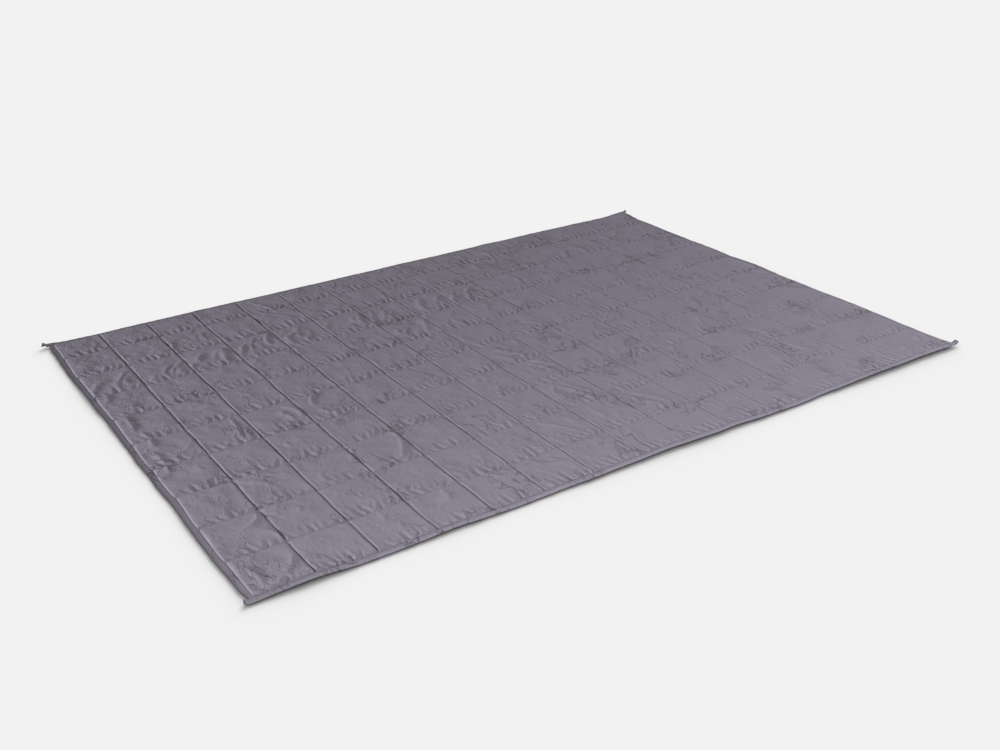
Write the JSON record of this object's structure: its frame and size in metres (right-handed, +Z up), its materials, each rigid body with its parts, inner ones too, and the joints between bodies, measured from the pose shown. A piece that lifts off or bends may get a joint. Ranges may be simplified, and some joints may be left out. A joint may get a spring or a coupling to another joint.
{
  "type": "camp quilt",
  "caption": "Rectangular box-quilted camp quilt lying flat, with fabric shells over batting, a bound edge and two fold lines that fold it in three.",
  "frame": {"origin": "centre of the rectangle that the quilt covers when it lies flat, at floor level", "axes": "+X along the long side towards the right panel, +Y across it towards the back edge, +Z up from the floor"},
  "size_m": [2.024, 1.4, 0.0125],
  "materials": {
    "shell_fabric": "matte woven polyester shell with a soft sheen, mauve-grey",
    "underside_fabric": "matte woven polyester shell, mauve-grey",
    "batting": "matte white fibre fill",
    "binding": "matte woven polyester band, mauve-grey",
    "thread": "matte polyester thread, darker mauve-grey"
  },
  "bodies": {
    "middle_panel": {"middle_bottom_shell": "underside_fabric", "middle_batting": "batting", "middle_top_shell": "shell_fabric", "middle_front_binding": "binding", "middle_back_binding": "binding", "column_stitching_05": "thread", "column_stitching_06": "thread", "column_stitching_07": "thread", "column_stitching_08": "thread", "column_stitching_09": "thread", "column_stitching_10": "thread", "middle_row_stitching_01": "thread", "middle_row_stitching_02": "thread", "middle_row_stitching_03": "thread", "middle_row_stitching_04": "thread", "middle_row_stitching_05": "thread", "middle_row_stitching_06": "thread", "middle_row_stitching_07": "thread", "middle_row_stitching_08": "thread", "middle_row_stitching_09": "thread"},
    "left_panel": {"left_bottom_shell": "underside_fabric", "left_batting": "batting", "left_top_shell": "shell_fabric", "left_front_binding": "binding", "left_back_binding": "binding", "left_side_binding": "binding", "column_stitching_01": "thread", "column_stitching_02": "thread", "column_stitching_03": "thread", "column_stitching_04": "thread", "left_row_stitching_01": "thread", "left_row_stitching_02": "thread", "left_row_stitching_03": "thread", "left_row_stitching_04": "thread", "left_row_stitching_05": "thread", "left_row_stitching_06": "thread", "left_row_stitching_07": "thread", "left_row_stitching_08": "thread", "left_row_stitching_09": "thread"},
    "right_panel": {"right_bottom_shell": "underside_fabric", "right_batting": "batting", "right_top_shell": "shell_fabric", "right_front_binding": "binding", "right_back_binding": "binding", "right_side_binding": "binding", "column_stitching_11": "thread", "column_stitching_12": "thread", "column_stitching_13": "thread", "column_stitching_14": "thread", "right_row_stitching_01": "thread", "right_row_stitching_02": "thread", "right_row_stitching_03": "thread", "right_row_stitching_04": "thread", "right_row_stitching_05": "thread", "right_row_stitching_06": "thread", "right_row_stitching_07": "thread", "right_row_stitching_08": "thread", "right_row_stitching_09": "thread"}
  },
  "joints": [
    {"name": "left_fold", "type": "hinge", "parent": "middle_panel", "child": "left_panel", "pos_m": [-0.33033, 0, 0.013], "axis": [0, 1, 0], "range_deg": [0, 180]},
    {"name": "right_fold", "type": "hinge", "parent": "middle_panel", "child": "right_panel", "pos_m": [0.33033, 0, 0.01975], "axis": [0, -1, 0], "range_deg": [0, 180]}
  ]
}
